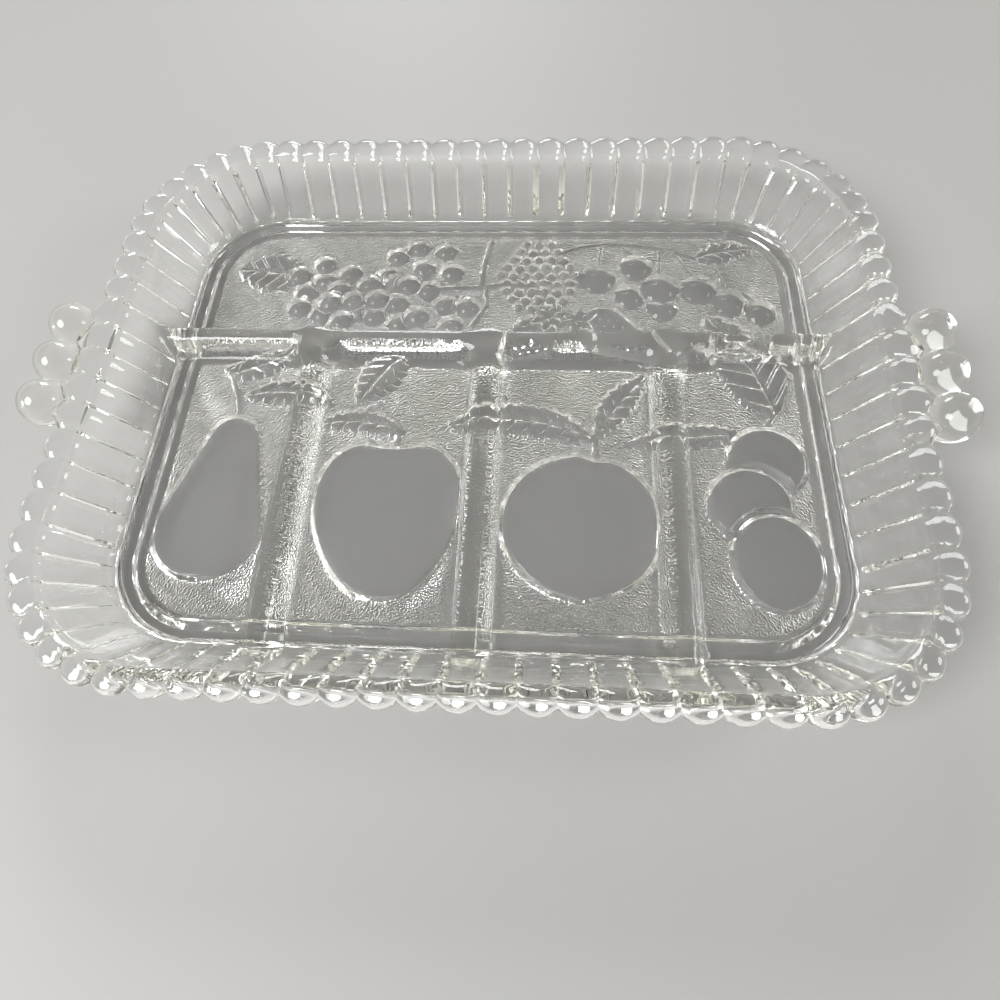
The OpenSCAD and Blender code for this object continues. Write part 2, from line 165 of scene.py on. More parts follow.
# Lines of the lip, the outer wall and the foot: inset, height, swell of a flute, rise of a scallop and reach
# of the web beside the beads, in millimetres
LIP_AND_WALL = (
    (8.6, 22.95, 0, 0, 0),
    (7.6, 24.75, 0, 0, 0),
    (7.2, 25.9, 0, 0, 0),
    (7.0, 26.9, 0, 0.05, 0),
    (6.7, 27.6, 0, 0.12, 0),
    (6.2, 28.0, 0, 0.3, 0),
    (5.3, 28.35, 0, 0.7, 0),
    (4.2, 28.6, 0, 1.15, 0),
    (3.0, 28.75, 0.1, 1.5, 0),
    (1.9, 28.75, 0.7, 1.6, 0.1),
    (1.0, 28.55, 1.45, 1.45, 0.6),
    (0.35, 28.15, 2.0, 1.15, 1.7),
    (0.05, 27.5, 2.25, 0.75, 3.2),
    (0.0, 26.85, 2.3, 0.35, 4.3),
    (0.1, 26.3, 2.25, 0.1, 4.4),
    (0.5, 25.85, 2.1, 0, 4.3),
    (1.3, 25.45, 1.85, 0, 3.9),
    (2.4, 24.9, 1.6, 0, 3.2),
    (3.6, 24.2, 1.45, 0, 2.2),
    (4.7, 23.1, 1.65, 0, 1.0),
    (6.0, 21.0, 1.9, 0, 0.2),
    (9.7, 14.2, 1.9, 0, 0),
    (13.5, 7.2, 1.9, 0, 0),
    (15.2, 4.0, 1.8, 0, 0),
    (15.6, 2.9, 1.4, 0, 0),
    (15.9, 1.9, 0.7, 0, 0),
    (16.1, 1.2, 0.25, 0, 0),
    (16.4, 1.05, 0, 0, 0),
    (18.6, 3.3, 0, 0, 0),
    (18.9, 3.3, 0, 0, 0),
    (19.8, 0.3, 0, 0, 0),
    (20.2, 0.0, 0, 0, 0),
    (22.7, 0.0, 0, 0, 0),
    (23.0, 0.1, 0, 0, 0),
    (25.3, 2.3, 0, 0, 0),
    (25.6, 2.3, 0, 0, 0),
    (26.3, 1.65, 0, 0, 0),
    (26.9, 1.05, 0, 0, 0),
)
# Number of the lines above that lie on the lip's inner side, where no valley is sharp
LIP_INNER_LINES = 5
# Insets of the inside's lines, from the edge of the floor's sheet up to the lip
COVE_INSETS = (20.4, 19.4, 18.5, 17.7, 16.8, 15.6, 12.6, 9.6)
# Insets of the edges of the two sheets: the floor with its dividers, and the carved ground
FLOOR_SHEET_INSET = 21.6
GROUND_SHEET_INSET = 27.2
# Most that a face of a sheet may bend before it is split, for each round of splitting
FLOOR_TOLERANCES = (0.2,)
GROUND_TOLERANCES = (0.1, 0.1, 0.38)
# Distance at which two points of the seam between wall and ground count as one
SEAM_GAP = 0.002

# Half the length of the web beside the beads, and the length over which it fades out
HANDLE_HALF = 25.5
HANDLE_FADE = 4.5
# Height below which the round flutes of the lip turn into flat panels, and the span of the change
PANEL_TOP = 25.5
PANEL_SPAN = 3
# Crowding of a flute's stations towards its valleys, on the lip and added on the wall
LIP_CROWDING = 0.2
PANEL_CROWDING = 0.1
# Power of a flute's curve on the lip, and added on the wall
LIP_POWER = 2
PANEL_POWER = 2.6
# Height up to which the flanks beside a valley are sharp too, and the height of the plain foot
FLANK_TOP = 23.5
FOOT_TOP = 2

# Half the width of a divider's flat crest, and the width of the fillet at its foot
DIVIDER_CREST = 1.5
DIVIDER_FILLET = 2.0
# Inset and height at the top of the inner wall, and its fall for each millimetre of inset
INNER_WALL_TOP = (7.3, 25.3)
INNER_WALL_FALL = 1.864
# Lengths over which dividers run into each other, into the floor, and all of them into the wall
CROSSING_BLEND = 9.0
FILLET_BLEND = 2.6
COVE_BLEND = 3.0

# Height that parts the carved underside from the floors' upper face
UNDERSIDE_TOP = 3.6
# Width of the stipple's soft edge beside the foot ring
STIPPLE_EDGE = 1.0
# Half width and soft edge of the strip under a divider where the stipple is weaker
WEAK_STRIP = 10
WEAK_EDGE = 3
# Share of the stipple that is missing under a cross divider, and missing besides under the long one
WEAK_CROSS = 0.4
WEAK_LONG = 0.55

# Anything too far away to matter, and the room that is left round a motif
FAR = 1e3
MARGIN = 1
# Curve of a pressed ball, and width of the slope at a stem's edge
BALL_CURVE = 0.9
STEM_SLOPE = 0.8
# Powers of a leaf's outline: one moves its widest place towards the base, the other makes it fuller
LEAF_LEAN = 0.8
LEAF_FULLNESS = 0.85
# Rise of a leaf, the width of the slope at its edge, and the roundness of its two ends
LEAF_RISE = 1.8
LEAF_SLOPE = 1.5
LEAF_END = 0.4
# Depth of a leaf's midrib, the share of it that a side vein has, and half the width of each
RIB_DEPTH = 1.2
VEIN_SHARE = 0.8
RIB_HALF = 1.1
VEIN_HALF = 0.9
# Lean of the side veins, and their distance across for each step along the leaf
VEIN_LEAN = 0.8
VEIN_SPREAD = 0.78
# Widths over which midrib and side veins fade out at the leaf's edge
RIB_FADE = 1.2
VEIN_FADE = 1.6
# Share of the stipple that a leaf keeps
LEAF_STIPPLE = 0.15
# Distance between rows of strawberry seeds and between seeds, their depth and their radius
SEED_ROW = 3.1
SEED_PITCH = 3.2
SEED_DEPTH = 0.55
SEED_RADIUS = 0.7
# Depth and half width of the crease of the peach
CREASE_DEPTH = 0.12
CREASE_HALF = 1.1


class RimLine:
    """The valley line of the rim as numbered stations, anticlockwise from the middle of one corner.

    That corner is the front left one. The stations of a flute stand evenly, or crowd towards its valleys.
    """

    def __init__(self, sizes, steps, crowding=0.0):
        self.steps = steps
        self.radius = sizes.corner_radius
        self.core_x = sizes.rim_length / 2 - self.radius
        self.core_y = sizes.rim_depth / 2 - self.radius
        self.columns = (sizes.long_flutes + sizes.corner_flutes) * self.steps
        self.rows = (sizes.short_flutes + sizes.corner_flutes) * self.steps
        self.stations = 2 * (self.columns + self.rows)
        half_corner = sizes.corner_flutes * self.steps // 2
        anchors = []
        headings = []
        phases = []
        for side, (cells, run) in enumerate(((self.columns, self.core_x), (self.rows, self.core_y)) * 2):
            straight = cells - 2 * half_corner
            across = (self.core_y, self.core_x)[side % 2]
            quarter = Matrix.Rotation(math.radians(90 * side), 2)
            for number in range(cells):
                even = ((number - self.steps // 2) % self.steps) / self.steps
                beside = 0.5 * (2 * min(even, 1 - even)) ** (1 + crowding)
                phase = beside if even <= 0.5 else 1 - beside
                step = number + (phase - even) * self.steps
                before = min(step, half_corner)
                after = max(step - (cells - half_corner), 0)
                share = 2 * min(max(step - half_corner, 0), straight) / straight - 1
                turn = -135 + 90 * side + 45 * (before + after) / half_corner
                anchors.append(quarter @ Vector((share * run, -across)))
                headings.append(math.radians(turn))
                phases.append(phase)
        self.anchors = np.array(anchors)
        self.normals = np.stack([np.cos(headings), np.sin(headings)], axis=1)
        self.phases = np.array(phases)
        on_short_side = np.abs(self.normals[:, 0]) > 0.999
        inside_web = (HANDLE_HALF - np.abs(self.anchors[:, 1])) / HANDLE_FADE
        self.beside_beads = smooth_step(inside_web) * on_short_side

    def swell(self, power):
        """Rise of a flute between its valleys: round at a power of two, flatter at a higher one."""
        return 1 - np.abs(2 * self.phases - 1) ** power

    def points(self, inset, swell=0.0, power=2.0, web=0.0):
        """Places of all the stations on one line of the profile."""
        reach = self.radius - inset + swell * self.swell(power) + web * self.beside_beads
        return self.anchors + self.normals * reach[:, None]

    def inset_at(self, x, y):
        """Distance inside the valley line."""
        out_x = np.abs(x) - self.core_x
        out_y = np.abs(y) - self.core_y
        corner = np.hypot(np.maximum(out_x, 0), np.maximum(out_y, 0))
        return self.radius - corner - np.minimum(np.maximum(out_x, out_y), 0)


def divider_way(x, y, sizes):
    """Distance to the middle line of the nearest divider, rounded where two meet."""
    behind = np.maximum(y - sizes.divider_offset, 0)
    cross_way = np.full_like(x, FAR)
    for number in (-1, 0, 1):
        cross_way = np.minimum(cross_way, np.hypot(x - number * sizes.divider_spacing, behind))
    long_way = np.abs(y - sizes.divider_offset)
    return np.maximum(smooth_min(long_way, cross_way, CROSSING_BLEND), 0)


def inside_height(x, y, sizes, rim):
    """Height of the tray's inside: floor, dividers and wall, run into each other as pressed glass does."""
    foot = sizes.divider_width / 2 - DIVIDER_FILLET
    way = np.maximum(divider_way(x, y, sizes) - DIVIDER_CREST, 0) / (foot - DIVIDER_CREST)
    on_long = smooth_step(1 - np.abs(y - sizes.divider_offset) / foot)
    added = sizes.long_divider_height - sizes.cross_divider_height
    height = sizes.cross_divider_height + added * on_long
    ridge = sizes.floor_height + height * np.where(way < 1, 1 - way**2, 2 - 2 * way)
    top_inset, top_height = INNER_WALL_TOP
    wall = top_height - INNER_WALL_FALL * (rim.inset_at(x, y) - top_inset)
    floor = smooth_max(np.full_like(x, sizes.floor_height), ridge, FILLET_BLEND)
    return smooth_max(floor, wall, COVE_BLEND)


class Carving:
    """What is pressed up into the underside at a set of points, in millimetres."""

    def __init__(self, x, y):
        self.x = x
        self.y = y
        self.rise = np.zeros_like(x)
        self.stipple = np.ones_like(x)

    def near(self, centre, reach):
        """Numbers of the points round a place."""
        beside = np.abs(self.x - centre[0]) < reach
        along = np.abs(self.y - centre[1]) < reach
        return np.nonzero(beside & along)[0]

    def press(self, at, inside, rise, groove, stipple=0.0):
        """Sets a motif over what is there, with a groove round its edge."""
        within = inside > 0
        self.rise[at] = np.where(within, rise, self.rise[at] * smooth_step(-inside / groove))
        self.stipple[at] = np.where(within, stipple, self.stipple[at])

    def ball(self, centre, radius, depth=2.4, groove=0.7):
        """Round fruit or one bead of a raspberry."""
        at = self.near(centre, radius + groove + MARGIN)
        away = np.hypot(self.x[at] - centre[0], self.y[at] - centre[1])
        rise = depth * np.clip(1 - (away / radius) ** 2, 0, 1) ** BALL_CURVE
        self.press(at, radius - away, rise, groove)

    def wide_fruit(self, outline, step=2.3, bevel=2.1, dome=0.4, reach=17.0, groove=2.4):
        """Fruit with a bevelled outline and a gentle dome."""
        outline = np.array(outline)
        low, high = outline.min(axis=0), outline.max(axis=0)
        at = self.near((low + high) / 2, max(high - low) / 2 + groove + MARGIN)
        inside = inside_outline(self.x[at], self.y[at], outline)
        dome_share = 1 - (1 - np.clip(inside / reach, 0, 1)) ** 2
        self.press(at, inside, step * np.clip(inside / bevel, 0, 1) + dome * dome_share, groove)

    def stem(self, points, width=2.1, depth=1.0):
        """Round ridge along a line of points."""
        points = np.array(points, float)
        low, high = points.min(axis=0), points.max(axis=0)
        at = self.near((low + high) / 2, max(high - low) / 2 + width + MARGIN)
        away = np.full(len(at), FAR)
        for start, end in zip(points[:-1], points[1:]):
            away = np.minimum(away, to_segment(self.x[at], self.y[at], start, end))
        inside = width / 2 - away
        self.rise[at] = np.maximum(self.rise[at], depth * smooth_step(inside / STEM_SLOPE))
        self.stipple[at] = np.where(inside > 0, 0, self.stipple[at])

    def leaf(self, base, tip, width, bend=0.0, teeth=9, tooth=1.4, veins=5, groove=1.2):
        """Saw-edged leaf with a midrib and slanting side veins."""
        base, tip = np.array(base, float), np.array(tip, float)
        run = np.linalg.norm(tip - base)
        ahead = (tip - base) / run
        at = self.near((base + tip) / 2, run / 2 + width / 2 + abs(bend) + 2 * MARGIN)
        x, y = self.x[at] - base[0], self.y[at] - base[1]
        along = (x * ahead[0] + y * ahead[1]) / run
        share = np.clip(along, 0, 1)
        across = y * ahead[0] - x * ahead[1] - 4 * bend * share * (1 - share)
        half = (width / 2 - tooth) * np.sin(math.pi * share**LEAF_LEAN) ** LEAF_FULLNESS
        saw = tooth * (1 - (share * teeth) % 1) * smooth_step(half / 2)
        ends = run * np.minimum(along, 1 - along)
        inside = np.minimum(half + saw - np.abs(across), ends + LEAF_END)
        rise = LEAF_RISE * np.clip(inside / LEAF_SLOPE, 0, 1)
        vein_gap = run / (veins + 1)
        slant = (share * run - VEIN_LEAN * np.abs(across)) / vein_gap
        beside = np.abs(slant % 1 - 0.5) * vein_gap * VEIN_SPREAD
        vein = np.clip(1 - beside / VEIN_HALF, 0, 1) * smooth_step(inside / VEIN_FADE) * (veins > 0)
        midrib = np.clip(1 - np.abs(across) / RIB_HALF, 0, 1) * smooth_step(inside / RIB_FADE)
        rise = rise - RIB_DEPTH * np.maximum(VEIN_SHARE * vein, midrib)
        self.press(at, inside, rise, groove, stipple=LEAF_STIPPLE)


def to_segment(x, y, start, end):
    """Distance of points to a straight line between two points."""
    run = end - start
    share = np.clip(((x - start[0]) * run[0] + (y - start[1]) * run[1]) / (run @ run), 0, 1)
    return np.hypot(x - start[0] - share * run[0], y - start[1] - share * run[1])


def inside_outline(x, y, outline):
    """Distance inside a closed outline, negative outside it."""
    away = np.full_like(x, FAR)
    crossings = np.zeros(len(x), int)
    for start, end in zip(outline, np.roll(outline, -1, axis=0)):
        away = np.minimum(away, to_segment(x, y, start, end))
        spans = (start[1] > y) != (end[1] > y)
        rise = end[1] - start[1]
        reach = start[0] + (y - start[1]) * (end[0] - start[0]) / (rise if rise else 1e-9)
        crossings += spans & (x < reach)
    return np.where(crossings % 2 == 1, away, -away)


def turns(steps=72):
    """Angles of the points of a round outline."""
    return [2 * math.pi * step / steps for step in range(steps)]


def tapered_outline(big, big_radius, small, small_radius, steps=64):
    """Outline round two discs."""
    big, small = Vector(big), Vector(small)
    run = (small - big).length
    heading = math.atan2(small.y - big.y, small.x - big.x)
    flank = math.acos((big_radius - small_radius) / run)
    points = []
    for centre, radius, start, end in (
        (big, big_radius, flank, 2 * math.pi - flank),
        (small, small_radius, -flank, flank),
    ):
        for step in range(steps // 2 + 1):
            angle = heading + start + (end - start) * 2 * step / steps
            points.append((centre.x + radius * math.cos(angle), centre.y + radius * math.sin(angle)))
    return points


def apple_outline():
    """Broad shoulders, a dip for the stem and a narrow foot."""
    middle_x, middle_y = -33.8, -47.5
    half_width, half_height = 28, 33.8
    stem_dip, foot_drop, shoulder = 5.5, 1.5, 0.22
    points = []
    for turn in turns():
        lean = 1 + shoulder * math.cos(turn)
        dip = stem_dip * max(math.cos(turn), 0) ** 18 - foot_drop * max(-math.cos(turn), 0) ** 12
        place_x = middle_x + half_width * math.sin(turn) * lean
        points.append((place_x, middle_y + half_height * math.cos(turn) - dip))
    return points


def peach_outline():
    """Round, with a dip at the stem and a small point at the foot."""
    middle_x, middle_y = 36.7, -49
    radius, breadth = 28.5, 1.045
    stem_turn, stem_dip, stem_span = 0.2, 1.6, 0.16
    foot_drop, foot_span = 1.0, 0.12
    points = []
    for turn in turns():
        dip = stem_dip * math.exp(-(((turn - stem_turn) / stem_span) ** 2))
        foot = foot_drop * math.exp(-(((turn - math.pi) / foot_span) ** 2))
        reach = radius - dip + foot
        points.append((middle_x + breadth * reach * math.sin(turn), middle_y + reach * math.cos(turn)))
    return points


def oval_outline(centre, half_width, half_height):
    points = []
    for turn in turns():
        points.append((centre[0] + half_width * math.sin(turn), centre[1] + half_height * math.cos(turn)))
    return points


# Middles of the grapes, one pressed over the other in this order
GRAPES = (
    (-50, 53), (-39, 39.5), (-64, 52), (-81, 56), (-73, 44), (-43, 76), (-30, 59), (-86, 65),
    (-56, 45), (-20, 49), (-83, 47), (-74, 62), (-47, 64), (-64, 40), (-34.5, 81), (-63, 66),
    (-54, 60), (-43, 61), (-22, 79), (-75, 71), (-31, 69), (-18.5, 67), (-67, 57), (-70, 50),
    (-28, 57), (-41, 50), (-60, 51), (-50, 43), (-11, 48), (-32, 43), (-17, 38), (-50, 52),
    (-37, 60),
)
GRAPE_RADIUS = 5.6
# Middles and radii of the cherries
CHERRIES = (
    (57, 54, 6.6), (70.5, 48, 6.6), (60.5, 70, 7.2), (44, 63.5, 8),
    (70, 58.6, 8), (86, 58, 7.8), (98, 51, 7.2), (110, 46, 6.6),
)
CHERRY_STALKS = (
    ((46, 82), (44.5, 71)),
    ((54, 82), (59, 77)),
    ((71, 80), (70, 66)),
    ((76, 79), (84, 65)),
    ((94, 69), (97, 58)),
    ((97.5, 58), (105, 55), (109, 51)),
)
# Directions of a strawberry's sepals, in degrees, and their length
SEPAL_TURNS = (20, 75, 140, 200, 255, 320)
SEPAL_LENGTH = 7.5
# Beads in each row of the raspberry, from the top, and the row that is shifted by half a bead
RASPBERRY_ROWS = (3, 4, 5, 6, 7, 7, 6, 5, 4)
RASPBERRY_SHIFTED_ROW = 5
# Middle and top of the raspberry, the distances between its beads and rows, and the radius of a bead
RASPBERRY_MIDDLE = 19
RASPBERRY_TOP = 83
RASPBERRY_PITCH = 5.4
RASPBERRY_ROW_STEP = 4.4
RASPBERRY_BEAD = 2.3


def press_back_fruit(carving):
    """Grapes, a raspberry, two strawberries and cherries in the long compartment."""
    carving.leaf((-84, 65), (-114, 68), 25, teeth=6, tooth=2.6, veins=4)
    carving.stem([(-30, 58), (-14, 58.5), (-5, 59), (6, 61), (15, 59)])
    carving.stem([(-5, 59), (-4.5, 72), (-2, 84)], width=3.2)
    carving.stem([(-3.5, 59), (-2, 49.5), (-8, 38)], width=2.6)
    for grape in GRAPES:
        carving.ball(grape, GRAPE_RADIUS)
    for row, number in enumerate(RASPBERRY_ROWS):
        level = RASPBERRY_TOP - RASPBERRY_ROW_STEP * row
        shift = 0.5 * (row == RASPBERRY_SHIFTED_ROW)
        for place in range(number):
            across = RASPBERRY_MIDDLE + (place - (number - 1) / 2 + shift) * RASPBERRY_PITCH
            sway = 0.5 * math.cos(place * 2.4)
            carving.ball((across, level + sway), RASPBERRY_BEAD, depth=1.5, groove=0.4)
    for big, big_radius, small, small_radius, cap in (
        ((18, 34), 10.0, (5, 22), 4.0, (24, 43)),
        ((46, 38.5), 10.5, (69, 24.5), 3.0, (35.5, 41.5)),
    ):
        outline = tapered_outline(big, big_radius, small, small_radius)
        carving.wide_fruit(outline, step=1.4, bevel=1.6, reach=8.0, groove=1.4)
        press_seeds(carving, big, small, big_radius)
        for turn in SEPAL_TURNS:
            angle = math.radians(turn)
            tip = (cap[0] + SEPAL_LENGTH * math.cos(angle), cap[1] + SEPAL_LENGTH * math.sin(angle))
            carving.leaf(cap, tip, 3.6, teeth=1, tooth=0.1, veins=0, groove=0.6)
    carving.stem([(29, 78), (37, 81.5), (46, 83), (59, 82.6), (74, 80), (86, 75)], width=1.8)
    for stalk in CHERRY_STALKS:
        carving.stem(stalk, width=1.6)
    for across, level, radius in CHERRIES:
        carving.ball((across, level), radius, depth=2.1, groove=1.0)
    carving.leaf((86, 75), (112, 80), 14, bend=1.5, teeth=7, tooth=1.5, veins=4)


def press_seeds(carving, start, end, radius):
    """Seeds of a strawberry, in staggered rows along it."""
    start, end = Vector(start), Vector(end)
    ahead = (end - start).normalized()
    aside = Vector((-ahead.y, ahead.x))
    plain_edge, taper, cap_taper = 2.6, 0.36, 0.55
    for row in range(-2, 8):
        along = SEED_ROW * row
        half = radius - plain_edge - max(along, 0) * taper - max(-along, 0) * cap_taper
        for place in range(-3, 4):
            across = SEED_PITCH * (place + 0.5 * (row % 2))
            if abs(across) < half:
                seed = start + ahead * along + aside * across
                at = carving.near(seed, 2)
                away = np.hypot(carving.x[at] - seed.x, carving.y[at] - seed.y)
                carving.rise[at] -= SEED_DEPTH * np.exp(-((away / SEED_RADIUS) ** 2))


def press_front_fruit(carving):
    """Pear, apple, peach and plums, one in each front compartment."""
    carving.leaf((-106, 12), (-76, 30), 15, bend=-2, teeth=8, tooth=1.5, veins=4)
    carving.leaf((-97, 2), (-59, -2), 13, bend=4.5, teeth=9)
    carving.stem([(-97, -6), (-99.5, 2), (-103, 10), (-107, 15), (-103.5, 17)], width=2.6)
    carving.wide_fruit(tapered_outline((-99.0, -54.5), 20.6, (-97.0, -17.0), 10.4))
    carving.leaf((-35, 24), (-51, -1), 19, bend=-1, teeth=8, tooth=1.7)
    carving.leaf((-31.5, -13), (-68, -11.5), 12, bend=-4, teeth=10)
    carving.stem([(-33, -22), (-32.5, -13)], width=3.0)
    carving.wide_fruit(apple_outline())
    carving.leaf((41, -14), (-17, -11), 17, bend=-6, teeth=13, veins=8)
    carving.leaf((42.5, -13), (64, 16), 15, bend=1.5, teeth=8)
    carving.stem([(42.5, -24), (42, -13)], width=3.0)
    carving.wide_fruit(peach_outline())
    crease = np.array([(42, -22), (46, -27), (49, -34), (50, -41)], float)
    at = carving.near((46, -32), 14)
    for start, end in zip(crease[:-1], crease[1:]):
        away = to_segment(carving.x[at], carving.y[at], start, end)
        carving.rise[at] -= CREASE_DEPTH * np.exp(-((away / CREASE_HALF) ** 2))
    carving.leaf((110, -3), (87, 45), 29, bend=-3, teeth=9, tooth=1.8, veins=6)
    carving.leaf((90, 29), (111, 28), 7, teeth=6, tooth=0.7, veins=4)
    carving.leaf((96, -11), (52, -17), 12, bend=-1, teeth=11, tooth=1.2, veins=7)
    carving.stem([(105, -14), (107, -6), (110, -2)], width=2.4)
    for plum in (((104, -23), 15.2, 15.2), ((96.3, -40.5), 15.8, 15.8), ((103.2, -61), 16.4, 18.4)):
        carving.wide_fruit(oval_outline(*plum), reach=12.0, dome=0.5)


def carve(x, y, sizes, rim):
    """Relief of the underside and the share of stipple, at points in millimetres."""
    carving = Carving(x, y)
    press_front_fruit(carving)
    press_back_fruit(carving)
    inset = rim.inset_at(x, y)
    within = smooth_step((inset - GROUND_SHEET_INSET) / STIPPLE_EDGE)
    below_long = smooth_step((WEAK_STRIP - np.abs(y - sizes.divider_offset)) / WEAK_EDGE)
    below_any = smooth_step((WEAK_STRIP - divider_way(x, y, sizes)) / WEAK_EDGE)
    kept = 1 - (WEAK_CROSS + WEAK_LONG * below_long) * below_any
    return carving.rise * within, carving.stipple * kept * within


def add_sheet(rim, inset):
    """Flat sheet whose edge lies on the stations of one line of the profile."""
    sheet = bmesh.new()
    station = sheet.verts.layers.int.new("station")
    bmesh.ops.create_grid(sheet, x_segments=rim.columns, y_segments=rim.rows, size=1)
    border = rim.points(inset)
    front_left, front_right = border[0], border[rim.columns]
    back_right, back_left = border[rim.columns + rim.rows], border[2 * rim.columns + rim.rows]
    for vert in sheet.verts:
        u, v = (vert.co.x + 1) / 2, (vert.co.y + 1) / 2
        column, row = round(u * rim.columns), round(v * rim.rows)
        front = column
        right = rim.columns + row
        back = 2 * rim.columns + rim.rows - column
        left = (rim.stations - row) % rim.stations
        place = (1 - v) * border[front] + v * border[back] + (1 - u) * border[left] + u * border[right]
        shared = (1 - u) * (1 - v) * front_left + u * (1 - v) * front_right
        place -= shared + u * v * back_right + (1 - u) * v * back_left
        vert.co = (*place, 0)
        on_side = {0: left, rim.columns: right}.get(column, -1)
        vert[station] = {0: front, rim.rows: back}.get(row, on_side)
    return sheet


def plan_places(sheet):
    """Places of a sheet's points, seen from above."""
    places = np.array([vert.co for vert in sheet.verts])
    return places[:, 0], places[:, 1]


def set_heights(sheet, heights):
    for vert, height in zip(sheet.verts, heights):
        vert.co.z = height


# Points of a face at which its bend is measured: its middle, four corners and four sides
PROBES = ((0, 0), (-1, -1), (1, -1), (1, 1), (-1, 1), (-1, 0), (1, 0), (0, -1), (0, 1))
# Two corners and the side between them, as places in the list above
PROBED_SIDES = ((1, 2, 7), (2, 3, 6), (3, 4, 8), (4, 1, 5))


def refine(sheet, measure, tolerances):
    """Splits the faces over which a height bends by more than the tolerance, once for each tolerance."""
    for tolerance in tolerances:
        faces = list(sheet.faces)
        centres = np.array([face.calc_center_median() for face in faces])
        spans = np.array([max(edge.calc_length() for edge in face.edges) for face in faces])
        probes = []
        for shift_x, shift_y in PROBES:
            probe_x = centres[:, 0] + shift_x * spans * 0.5
            probe_y = centres[:, 1] + shift_y * spans * 0.5
            probes.append(measure(probe_x, probe_y))
        probes = np.array(probes)
        bend = np.abs(probes[0] - probes[1:5].mean(axis=0))
        for one, two, middle in PROBED_SIDES:
            bend = np.maximum(bend, np.abs(probes[middle] - (probes[one] + probes[two]) / 2))
        bent = {edge for face, needed in zip(faces, bend > tolerance) if needed for edge in face.edges}
        inner = [edge for edge in sheet.edges if edge in bent and not edge.is_boundary]
        bmesh.ops.subdivide_edges(sheet, edges=inner, cuts=1, use_grid_fill=True)


def profile_rings(sizes, rim, ground_rim):
    """Rings of points up the inside, over the lip, and down the wall and foot to the edge of the ground."""
    rings = []
    for inset in COVE_INSETS:
        places = rim.points(inset)
        rings.append(np.column_stack([places, inside_height(places[:, 0], places[:, 1], sizes, rim)]))
    for inset, height, swell, rise, web in LIP_AND_WALL:
        upright = smooth_step((PANEL_TOP - height) / PANEL_SPAN)
        crowded = RimLine(sizes, sizes.flute_steps, crowding=LIP_CROWDING + PANEL_CROWDING * upright)
        places = crowded.points(inset, swell, LIP_POWER + PANEL_POWER * upright, web)
        rings.append(np.column_stack([places, height + rise * crowded.swell(LIP_POWER)]))
    nearest = np.round(np.arange(rim.stations) * ground_rim.stations / rim.stations).astype(int)
    places = ground_rim.points(GROUND_SHEET_INSET)[nearest % ground_rim.stations]
    rings.append(np.column_stack([places, np.full(rim.stations, sizes.ground_height)]))
    return rings


def grow_rings(body, rings):
    """Extrudes the open edge of the sheet from ring to ring, and notes the line that a point lies on."""
    station = body.verts.layers.int["station"]
    line = body.verts.layers.int.new("line")
    border = [edge for edge in body.edges if edge.is_boundary]
    for number, ring in enumerate(rings, start=1):
        grown = bmesh.ops.extrude_edge_only(body, edges=border)["geom"]
        for vert in (made for made in grown if isinstance(made, bmesh.types.BMVert)):
            vert.co = ring[vert[station]]
            vert[line] = number
        edges = (made for made in grown if isinstance(made, bmesh.types.BMEdge))
        border = [edge for edge in edges if edge.is_boundary]


def join_ground(body, sizes, rim, ground_rim):
    """Adds the carved ground and joins its edge to the last ring."""
    ground = add_sheet(ground_rim, GROUND_SHEET_INSET)
    refine(ground, lambda x, y: carve(x, y, sizes, rim)[0], GROUND_TOLERANCES)
    set_heights(ground, sizes.ground_height + carve(*plan_places(ground), sizes, rim)[0])
    bmesh.ops.reverse_faces(ground, faces=ground.faces)
    part = bpy.data.meshes.new("ground")
    ground.to_mesh(part)
    ground.free()
    body.from_mesh(part)
    bpy.data.meshes.remove(part)
    seam = [vert for vert in body.verts if vert.is_boundary]
    bmesh.ops.remove_doubles(body, verts=seam, dist=SEAM_GAP)


def mark_valleys(body, rings, rim):
    """Marks the valleys between flutes sharp, and on the wall the lines beside them."""
    station = body.verts.layers.int["station"]
    line = body.verts.layers.int["line"]
    heights = [ring[:, 2].mean() for ring in rings]
    plain_lines = len(COVE_INSETS) + LIP_INNER_LINES
    for edge in body.edges:
        one, two = edge.verts
        if one[station] != two[station] or one[station] < 0:
            continue
        if min(one[line], two[line]) <= plain_lines:
            continue
        height = (heights[one[line] - 1] + heights[two[line] - 1]) / 2
        from_valley = min(rim.phases[one[station]], 1 - rim.phases[one[station]]) * rim.steps
        edge.smooth = bool(height < FOOT_TOP or from_valley > (1.5 if height < FLANK_TOP else 0.5))


def tray_body(sizes):
    """The closed body: inside, lip, fluted wall, foot ring and carved underside."""
    rim = RimLine(sizes, sizes.flute_steps)
    ground_rim = RimLine(sizes, sizes.ground_steps)
    body = add_sheet(rim, FLOOR_SHEET_INSET)
    refine(body, lambda x, y: inside_height(x, y, sizes, rim), FLOOR_TOLERANCES)
    set_heights(body, inside_height(*plan_places(body), sizes, rim))
    rings = profile_rings(sizes, rim, ground_rim)
    grow_rings(body, rings)
    join_ground(body, sizes, rim, ground_rim)
    bmesh.ops.recalc_face_normals(body, faces=body.faces)
    mark_valleys(body, rings, rim)
    bmesh.ops.scale(body, vec=(MM, MM, MM), verts=body.verts)
    return body


def handle_parts(sizes, side):
    """The three beads of one handle, as closed parts that reach into the web of the lip."""
    parts = bmesh.new()
    for number in (-1, 0, 1):
        place = Vector((side * sizes.bead_reach, number * sizes.bead_pitch, sizes.bead_height))
        pose = Matrix.Translation(place) @ Matrix.Rotation(math.radians(90), 4, "Y")
        bmesh.ops.create_uvsphere(
            parts, u_segments=40, v_segments=20, radius=sizes.bead_radius, matrix=pose
        )
    bmesh.ops.scale(parts, vec=(MM, MM, MM), verts=parts.verts)
    return parts


